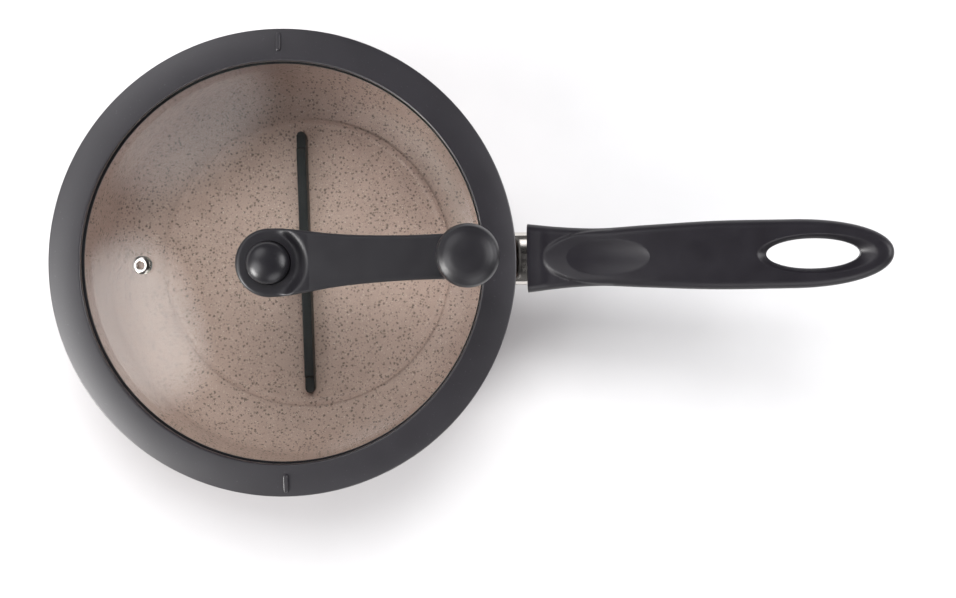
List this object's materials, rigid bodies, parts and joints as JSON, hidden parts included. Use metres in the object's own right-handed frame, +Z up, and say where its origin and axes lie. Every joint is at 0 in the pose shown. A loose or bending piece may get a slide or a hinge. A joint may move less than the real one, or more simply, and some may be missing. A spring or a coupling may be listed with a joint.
{
  "type": "stirring saucepan",
  "caption": "Deep coated pan with long black handle, domed glass lid in a grey silicone ring, and a hand crank on the lid that turns a stirring blade over the pan's floor.",
  "frame": {"origin": "centre of the pan's base, on the plane that the pan stands on", "axes": "+Z up along the pan's and the crank shaft's axis, +X from the pan's centre out along the handle"},
  "size_m": [0.4516, 0.254, 0.1905],
  "materials": {
    "coated_aluminium": "taupe non-stick coating with fine dark stone speckles, satin",
    "disc_steel": "bead-blasted stainless steel",
    "bracket_steel": "plain stainless steel",
    "rivet_aluminium": "coated like the pan inside, plain outside",
    "polished_steel": "polished stainless steel",
    "black_bakelite": "black phenolic moulding, satin",
    "fastener_steel": "bright zinc-plated steel",
    "lid_glass": "clear tempered glass",
    "grey_silicone": "dark grey moulded silicone, semi-matt",
    "bush_nylon": "dark glass-filled nylon",
    "gasket_silicone": "grey silicone sheet",
    "crank_plastic": "black-grey moulded plastic, satin",
    "slip_plastic": "white slip plastic",
    "blade_nylon": "black heat-proof nylon",
    "knob_plastic": "black-grey moulded plastic, fine matt grain"
  },
  "bodies": {
    "pan": {"pan_shell": "coated_aluminium", "induction_disc": "disc_steel", "handle_bracket": "bracket_steel", "bracket_rivets": "rivet_aluminium", "flame_guard": "polished_steel", "handle_grip": "black_bakelite", "handle_screw": "fastener_steel", "handle_screw_washer": "fastener_steel"},
    "lid": {"lid_glass": "lid_glass", "silicone_rim": "grey_silicone", "vent_eyelet": "polished_steel", "lid_bushing": "bush_nylon", "lower_gasket": "gasket_silicone", "upper_gasket": "gasket_silicone", "clamp_nut": "fastener_steel", "bearing_tower": "crank_plastic"},
    "crank": {"drive_shaft": "bracket_steel", "shaft_circlip": "fastener_steel", "thrust_washer": "slip_plastic", "crank_arm": "crank_plastic", "crank_screw": "fastener_steel", "screw_washer": "fastener_steel", "hub_cap": "crank_plastic", "stirrer_blade": "blade_nylon", "stirrer_pin": "fastener_steel", "knob_spindle": "bracket_steel", "spindle_nut": "fastener_steel", "knob_washer": "slip_plastic"},
    "knob": {"crank_knob": "knob_plastic", "knob_cap": "knob_plastic"}
  },
  "joints": [
    {"name": "lid_lift", "type": "slide", "parent": "pan", "child": "lid", "axis": [0, 0, 1], "range_m": [0, 0.145]},
    {"name": "crank_turn", "type": "hinge", "parent": "lid", "child": "crank", "pos_m": [0, 0, 0.12], "axis": [0, 0, 1], "continuous": true},
    {"name": "knob_spin", "type": "hinge", "parent": "crank", "child": "knob", "pos_m": [0.09998, 0.00192, 0.17], "axis": [0, 0, 1], "continuous": true}
  ]
}
